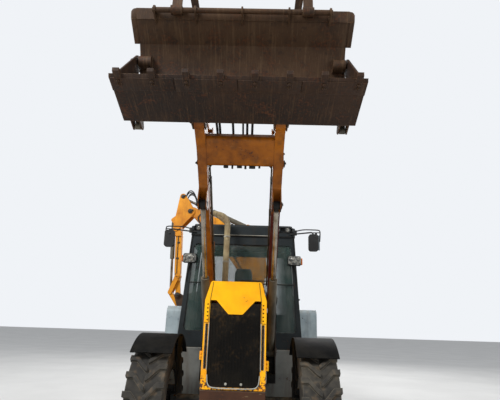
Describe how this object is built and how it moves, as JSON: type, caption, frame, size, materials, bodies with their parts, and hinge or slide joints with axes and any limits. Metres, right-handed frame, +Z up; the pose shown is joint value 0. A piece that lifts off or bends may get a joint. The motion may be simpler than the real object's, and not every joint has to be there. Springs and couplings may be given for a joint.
{
  "type": "backhoe loader",
  "caption": "Wheeled loader with a clamshell bucket and fold-over forks raised at the front, a glazed cab, and a side-shift backhoe folded across the rear.",
  "frame": {"origin": "on the ground, under the middle of the whole machine's bounding box", "axes": "+Z up, -Y the way the machine faces, +X to the machine's left"},
  "size_m": [2.891, 5.8358, 5.8076],
  "materials": {
    "loader_paint": "worn semi-gloss paint",
    "body_paint": "semi-gloss paint",
    "backhoe_paint": "semi-gloss paint",
    "bucket_steel": "worn and rusty",
    "engine_iron": "rough, dusty",
    "cylinder_grey": "satin",
    "rod_chrome": "polished",
    "cab_dark": "satin",
    "black_parts": "matte",
    "fender_grey": "dusty satin",
    "exhaust_steel": "heat stained",
    "rim_paint": "dusty satin",
    "tyre_rubber": "dusty rubber",
    "window_glass": "clear",
    "lamp_lens": "gloss",
    "seat_cover": "woven"
  },
  "bodies": {
    "machine": {"chassis": "loader_paint", "rear_frame": "loader_paint", "engine": "engine_iron", "lower_nose": "engine_iron", "front_axle": "engine_iron", "rear_axle": "engine_iron", "cowl": "body_paint", "exhaust": "exhaust_steel", "cab_frame": "cab_dark", "cab_roof": "cab_dark", "cab_glass": "window_glass", "cab_interior": "body_paint", "seat": "seat_cover", "rear_fenders": "fender_grey", "tanks": "fender_grey", "mirrors": "black_parts", "lamps": "lamp_lens"},
    "hood": {"hood": "body_paint", "grille": "black_parts"},
    "door_left": {"door_left": "cab_dark"},
    "door_right": {"door_right": "cab_dark"},
    "knuckle_left": {"knuckle_left": "black_parts"},
    "knuckle_right": {"knuckle_right": "black_parts"},
    "tie_rod": {"tie_rod": "engine_iron"},
    "wheel_front_left": {"rim_front_left": "rim_paint", "tyre_front_left": "tyre_rubber"},
    "wheel_front_right": {"rim_front_right": "rim_paint", "tyre_front_right": "tyre_rubber"},
    "wheel_rear_left": {"rim_rear_left": "rim_paint", "tyre_rear_left": "tyre_rubber"},
    "wheel_rear_right": {"rim_rear_right": "rim_paint", "tyre_rear_right": "tyre_rubber"},
    "loader_arms": {"loader_arms": "loader_paint"},
    "lift_barrels": {"lift_barrels": "cylinder_grey"},
    "lift_rods": {"lift_rods": "rod_chrome"},
    "tilt_barrels": {"tilt_barrels": "cylinder_grey"},
    "tilt_rods": {"tilt_rods": "rod_chrome"},
    "bellcranks": {"bellcranks": "loader_paint"},
    "tilt_links": {"tilt_links": "loader_paint"},
    "bucket": {"bucket": "bucket_steel"},
    "jaw": {"jaw": "bucket_steel"},
    "jaw_barrels": {"jaw_barrels": "cylinder_grey"},
    "jaw_rods": {"jaw_rods": "rod_chrome"},
    "forks": {"forks": "bucket_steel"},
    "carriage": {"carriage": "backhoe_paint"},
    "kingpost": {"kingpost": "backhoe_paint"},
    "boom": {"boom": "backhoe_paint"},
    "boom_barrel": {"boom_barrel": "cylinder_grey"},
    "boom_rod": {"boom_rod": "rod_chrome"},
    "dipper": {"dipper": "backhoe_paint"},
    "dipper_barrel": {"dipper_barrel": "cylinder_grey"},
    "dipper_rod": {"dipper_rod": "rod_chrome"},
    "hoe_bucket": {"hoe_bucket": "bucket_steel"},
    "hoe_lever": {"hoe_lever": "backhoe_paint"},
    "hoe_link": {"hoe_link": "backhoe_paint"},
    "bucket_barrel": {"bucket_barrel": "cylinder_grey"},
    "bucket_rod": {"bucket_rod": "rod_chrome"},
    "stabilizer_left": {"stabilizer_left": "backhoe_paint"},
    "stabilizer_right": {"stabilizer_right": "backhoe_paint"}
  },
  "joints": [
    {"name": "lift", "type": "hinge", "parent": "machine", "child": "loader_arms", "pos_m": [0.22, 0.038, 1.95], "axis": [-1, 0, 0], "range_deg": [-79, 0]},
    {"name": "lift_barrel_turn", "type": "hinge", "parent": "machine", "child": "lift_barrels", "pos_m": [0.22, 0.058, 1.24], "axis": [-1, 0, 0], "range_deg": [-71.07, 0]},
    {"name": "lift_rod_slide", "type": "slide", "parent": "lift_barrels", "child": "lift_rods", "axis": [0, -0.6383, 0.7698], "range_m": [-0.8689, 0]},
    {"name": "bucket_tilt", "type": "hinge", "parent": "loader_arms", "child": "bucket", "pos_m": [0.22, -2.092, 3.728], "axis": [1, 0, 0], "range_deg": [-62, 60]},
    {"name": "bellcrank_turn", "type": "hinge", "parent": "loader_arms", "child": "bellcranks", "pos_m": [0.22, -1.47155, 3.49666], "axis": [1, 0, 0], "range_deg": [-52.87, 51.17]},
    {"name": "tilt_link_turn", "type": "hinge", "parent": "bellcranks", "child": "tilt_links", "pos_m": [0.22, -1.40985, 3.94666], "axis": [1, 0, 0], "range_deg": [-55.25, 57.09]},
    {"name": "tilt_barrel_turn", "type": "hinge", "parent": "loader_arms", "child": "tilt_barrels", "pos_m": [0.22, -0.28404, 2.68776], "axis": [1, 0, 0], "range_deg": [-1.29, 1.25]},
    {"name": "tilt_rod_slide", "type": "slide", "parent": "tilt_barrels", "child": "tilt_rods", "axis": [0, -0.7113, 0.7029], "range_m": [-0.2069, 0.2002]},
    {"name": "jaw_open", "type": "hinge", "parent": "bucket", "child": "jaw", "pos_m": [0.22, -2.20107, 4.3855], "axis": [-1, 0, 0], "range_deg": [0, 60]},
    {"name": "jaw_barrel_turn", "type": "hinge", "parent": "bucket", "child": "jaw_barrels", "pos_m": [0.22, -2.11076, 3.63941], "axis": [-1, 0, 0], "range_deg": [-2.75, 0]},
    {"name": "jaw_rod_slide", "type": "slide", "parent": "jaw_barrels", "child": "jaw_rods", "axis": [0, 0.229, 0.9734], "range_m": [-0.2657, 0]},
    {"name": "forks_fold", "type": "hinge", "parent": "bucket", "child": "forks", "pos_m": [0.22, -2.56726, 4.79099], "axis": [-1, 0, 0], "range_deg": [-165, 0]},
    {"name": "hood_open", "type": "hinge", "parent": "machine", "child": "hood", "pos_m": [0.22, -0.138, 2.152], "axis": [-1, 0, 0], "range_deg": [0, 50]},
    {"name": "door_left_open", "type": "hinge", "parent": "machine", "child": "door_left", "pos_m": [1.10098, 1.111, 2], "axis": [-0.0711, 0, 0.9975], "range_deg": [0, 80]},
    {"name": "door_right_open", "type": "hinge", "parent": "machine", "child": "door_right", "pos_m": [-0.66098, 1.111, 2], "axis": [-0.0711, 0, -0.9975], "range_deg": [0, 80]},
    {"name": "steer_left", "type": "hinge", "parent": "machine", "child": "knuckle_left", "pos_m": [1.02, -0.742, 0.7], "axis": [0, 0, 1], "range_deg": [-18, 18]},
    {"name": "steer_right", "type": "hinge", "parent": "machine", "child": "knuckle_right", "pos_m": [-0.58, -0.742, 0.7], "axis": [0, 0, 1], "range_deg": [-18.05, 18.05]},
    {"name": "tie_rod_slide", "type": "slide", "parent": "machine", "child": "tie_rod", "axis": [-1, 0, 0], "range_m": [-0.0677, 0.0677]},
    {"name": "spin_front_left", "type": "hinge", "parent": "knuckle_left", "child": "wheel_front_left", "pos_m": [1.175, -0.742, 0.7], "axis": [1, 0, 0], "continuous": true},
    {"name": "spin_front_right", "type": "hinge", "parent": "knuckle_right", "child": "wheel_front_right", "pos_m": [-0.735, -0.742, 0.7], "axis": [1, 0, 0], "continuous": true},
    {"name": "spin_rear_left", "type": "hinge", "parent": "machine", "child": "wheel_rear_left", "pos_m": [1.175, 1.478, 0.7], "axis": [1, 0, 0], "continuous": true},
    {"name": "spin_rear_right", "type": "hinge", "parent": "machine", "child": "wheel_rear_right", "pos_m": [-0.735, 1.478, 0.7], "axis": [1, 0, 0], "continuous": true},
    {"name": "side_shift", "type": "slide", "parent": "machine", "child": "carriage", "axis": [-1, 0, 0], "range_m": [0, 0.94]},
    {"name": "swing", "type": "hinge", "parent": "carriage", "child": "kingpost", "pos_m": [0.69, 2.688, 0.655], "axis": [0, 0, -1], "range_deg": [0, 180]},
    {"name": "boom_lower", "type": "hinge", "parent": "kingpost", "child": "boom", "pos_m": [0.55, 2.688, 1.35], "axis": [0, -1, 0], "range_deg": [0, 95]},
    {"name": "boom_barrel_turn", "type": "hinge", "parent": "kingpost", "child": "boom_barrel", "pos_m": [0.86, 2.688, 1.6], "axis": [0, -1, 0], "range_deg": [0, 92.26]},
    {"name": "boom_rod_slide", "type": "slide", "parent": "boom_barrel", "child": "boom_rod", "axis": [-0.1263, 0, 0.992], "range_m": [0, 0.5956]},
    {"name": "dipper_swing", "type": "hinge", "parent": "boom", "child": "dipper", "pos_m": [-1.03, 2.688, 3.95], "axis": [0, 1, 0], "range_deg": [-12, 110]},
    {"name": "dipper_barrel_turn", "type": "hinge", "parent": "boom", "child": "dipper_barrel", "pos_m": [0.24, 2.688, 3.64], "axis": [0, 1, 0], "range_deg": [-0.2, 1.4]},
    {"name": "dipper_rod_slide", "type": "slide", "parent": "dipper_barrel", "child": "dipper_rod", "axis": [-0.9148, 0, 0.4038], "range_m": [-0.6157, 0.0673]},
    {"name": "hoe_bucket_tip", "type": "hinge", "parent": "dipper", "child": "hoe_bucket", "pos_m": [-1.18, 2.688, 2.15], "axis": [0, 1, 0], "range_deg": [0, 150]},
    {"name": "hoe_lever_turn", "type": "hinge", "parent": "dipper", "child": "hoe_lever", "pos_m": [-1.21, 2.688, 2.55], "axis": [0, 1, 0], "range_deg": [0, 106.55]},
    {"name": "hoe_link_turn", "type": "hinge", "parent": "hoe_lever", "child": "hoe_link", "pos_m": [-1.342, 2.688, 2.206], "axis": [0, 1, 0], "range_deg": [-78.05, 0]},
    {"name": "bucket_barrel_turn", "type": "hinge", "parent": "dipper", "child": "bucket_barrel", "pos_m": [-1.4, 2.688, 3.76], "axis": [0, 1, 0], "range_deg": [0, 12.8]},
    {"name": "bucket_rod_slide", "type": "slide", "parent": "bucket_barrel", "child": "bucket_rod", "axis": [0.0373, 0, -0.9993], "range_m": [-0.5552, 0]},
    {"name": "stabilizer_left_down", "type": "slide", "parent": "machine", "child": "stabilizer_left", "axis": [0, 0, -1], "range_m": [0, 0.5]},
    {"name": "stabilizer_right_down", "type": "slide", "parent": "machine", "child": "stabilizer_right", "axis": [0, 0, -1], "range_m": [0, 0.5]}
  ],
  "couplings": [
    {"joint": "lift_barrel_turn", "follows": "lift", "ratio": 0.899},
    {"joint": "lift_rod_slide", "follows": "lift", "m_per_rad": 0.63},
    {"joint": "bellcrank_turn", "follows": "bucket_tilt", "ratio": 0.852},
    {"joint": "tilt_link_turn", "follows": "bucket_tilt", "ratio": -0.92},
    {"joint": "tilt_barrel_turn", "follows": "bucket_tilt", "ratio": 0.02},
    {"joint": "tilt_rod_slide", "follows": "bucket_tilt", "m_per_rad": 0.191},
    {"joint": "jaw_barrel_turn", "follows": "jaw_open", "ratio": -0.045},
    {"joint": "jaw_rod_slide", "follows": "jaw_open", "m_per_rad": -0.2535},
    {"joint": "steer_right", "follows": "steer_left", "ratio": 1},
    {"joint": "tie_rod_slide", "follows": "steer_left", "m_per_rad": 0.215},
    {"joint": "boom_barrel_turn", "follows": "boom_lower", "ratio": 0.9706},
    {"joint": "boom_rod_slide", "follows": "boom_lower", "m_per_rad": 0.3591},
    {"joint": "dipper_barrel_turn", "follows": "dipper_swing", "ratio": 0.0123},
    {"joint": "dipper_rod_slide", "follows": "dipper_swing", "m_per_rad": -0.3206},
    {"joint": "hoe_lever_turn", "follows": "hoe_bucket_tip", "ratio": 0.71},
    {"joint": "hoe_link_turn", "follows": "hoe_bucket_tip", "ratio": -0.52},
    {"joint": "bucket_barrel_turn", "follows": "hoe_bucket_tip", "ratio": 0.085},
    {"joint": "bucket_rod_slide", "follows": "hoe_bucket_tip", "m_per_rad": -0.212}
  ]
}
